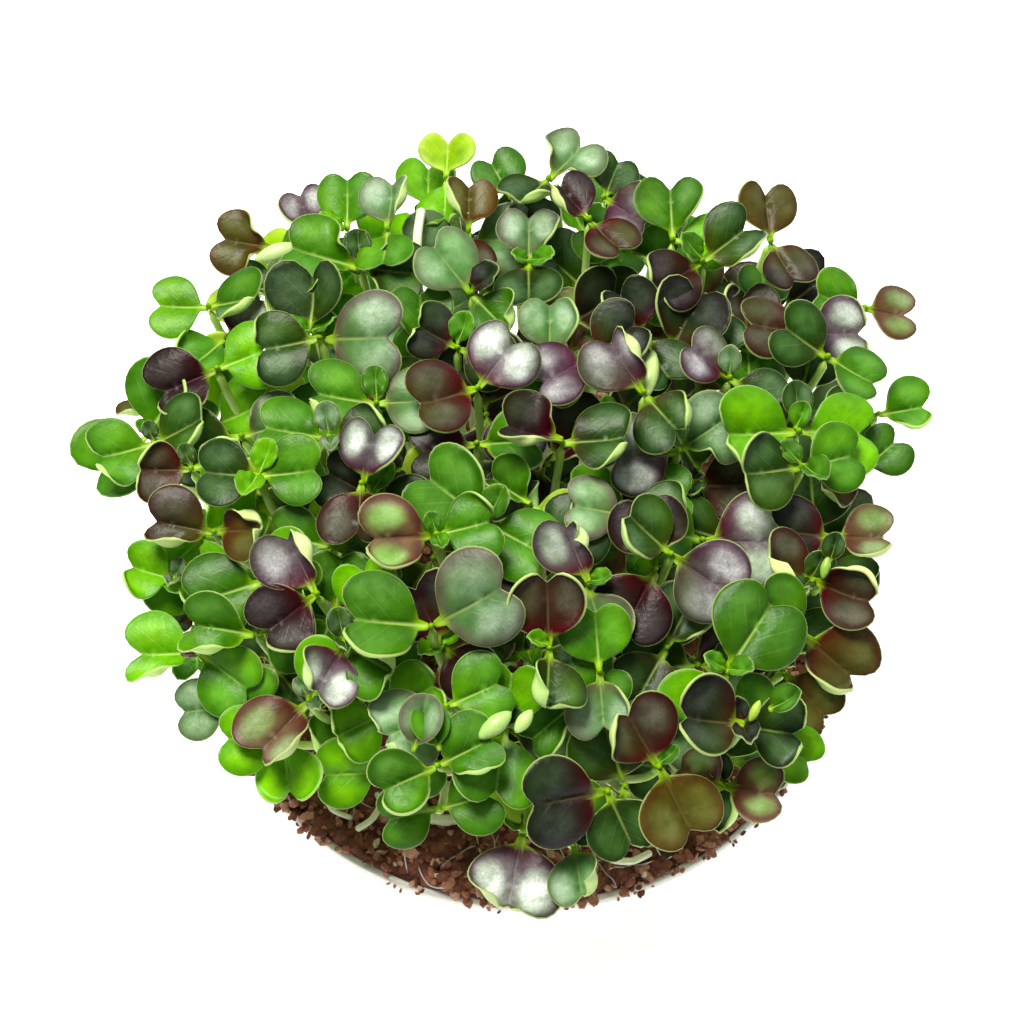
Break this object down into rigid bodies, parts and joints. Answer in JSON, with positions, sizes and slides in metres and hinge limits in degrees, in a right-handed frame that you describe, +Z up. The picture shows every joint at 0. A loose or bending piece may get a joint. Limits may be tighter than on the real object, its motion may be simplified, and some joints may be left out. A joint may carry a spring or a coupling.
{
  "type": "pak choi microgreens tray",
  "caption": "Shallow round tray of coir with a dense dome of pak choi seedlings: pale stems that each carry two notched seed leaves, in green, olive, maroon and silver purple.",
  "frame": {"origin": "centre of the tray's flat underside, where it rests on a table", "axes": "+Z up; the seedlings lean towards -Y, the side that faces the viewer in the picture; +X to the right of it"},
  "size_m": [0.1244, 0.1237, 0.0717],
  "materials": {
    "coir": "matte",
    "leaf_maroon": "satin",
    "leaf_sage": "satin",
    "leaf_silver": "satin",
    "leaf_bright": "satin",
    "leaf_purple": "satin",
    "leaf_green": "satin",
    "leaf_dark": "satin",
    "leaf_brown": "satin",
    "leaf_olive": "satin",
    "leaf_lime": "satin",
    "leaf_black": "satin",
    "tray": "satin"
  },
  "bodies": {
    "root": {"coir_bed": "coir", "seedlings_10_11": "leaf_maroon", "seedlings_12_95": "leaf_sage", "seedlings_13_19": "leaf_silver", "seedlings_14_17_91_94": "leaf_maroon", "seedlings_15_16": "leaf_sage", "seedlings_1_42": "leaf_bright", "seedlings_20_21": "leaf_purple", "seedlings_22_98": "leaf_green", "seedlings_23_24": "leaf_sage", "seedlings_25_83": "leaf_green", "seedlings_26_27": "leaf_sage", "seedlings_28_85": "leaf_sage", "seedlings_29_30": "leaf_dark", "seedlings_2_38": "leaf_brown", "seedlings_31_33": "leaf_bright", "seedlings_32_99": "leaf_olive", "seedlings_34_35": "leaf_sage", "seedlings_36_96": "leaf_brown", "seedlings_37_39": "leaf_dark", "seedlings_3_90": "leaf_silver", "seedlings_40_41": "leaf_green", "seedlings_43_44": "leaf_brown", "seedlings_45": "leaf_olive", "seedlings_49": "leaf_dark", "seedlings_4_89": "leaf_silver", "seedlings_51_52": "leaf_silver", "seedlings_53_55": "leaf_green", "seedlings_56_59": "leaf_lime", "seedlings_5_57_58_61_62_64": "leaf_sage", "seedlings_60_97": "leaf_brown", "seedlings_63_67": "leaf_sage", "seedlings_65_100": "leaf_olive", "seedlings_66_69": "leaf_olive", "seedlings_68_88": "leaf_brown", "seedlings_6_18_48_54": "leaf_brown", "seedlings_70_71": "leaf_green", "seedlings_72_74": "leaf_olive", "seedlings_73_87": "leaf_dark", "seedlings_75_76": "leaf_silver", "seedlings_77_78": "leaf_olive", "seedlings_79_80": "leaf_green", "seedlings_7_50": "leaf_brown", "seedlings_81_82": "leaf_bright", "seedlings_84": "leaf_olive", "seedlings_86": "leaf_black", "seedlings_8_47": "leaf_black", "seedlings_92_93": "leaf_bright", "seedlings_9_46": "leaf_green", "tray": "tray"}
  },
  "joints": []
}
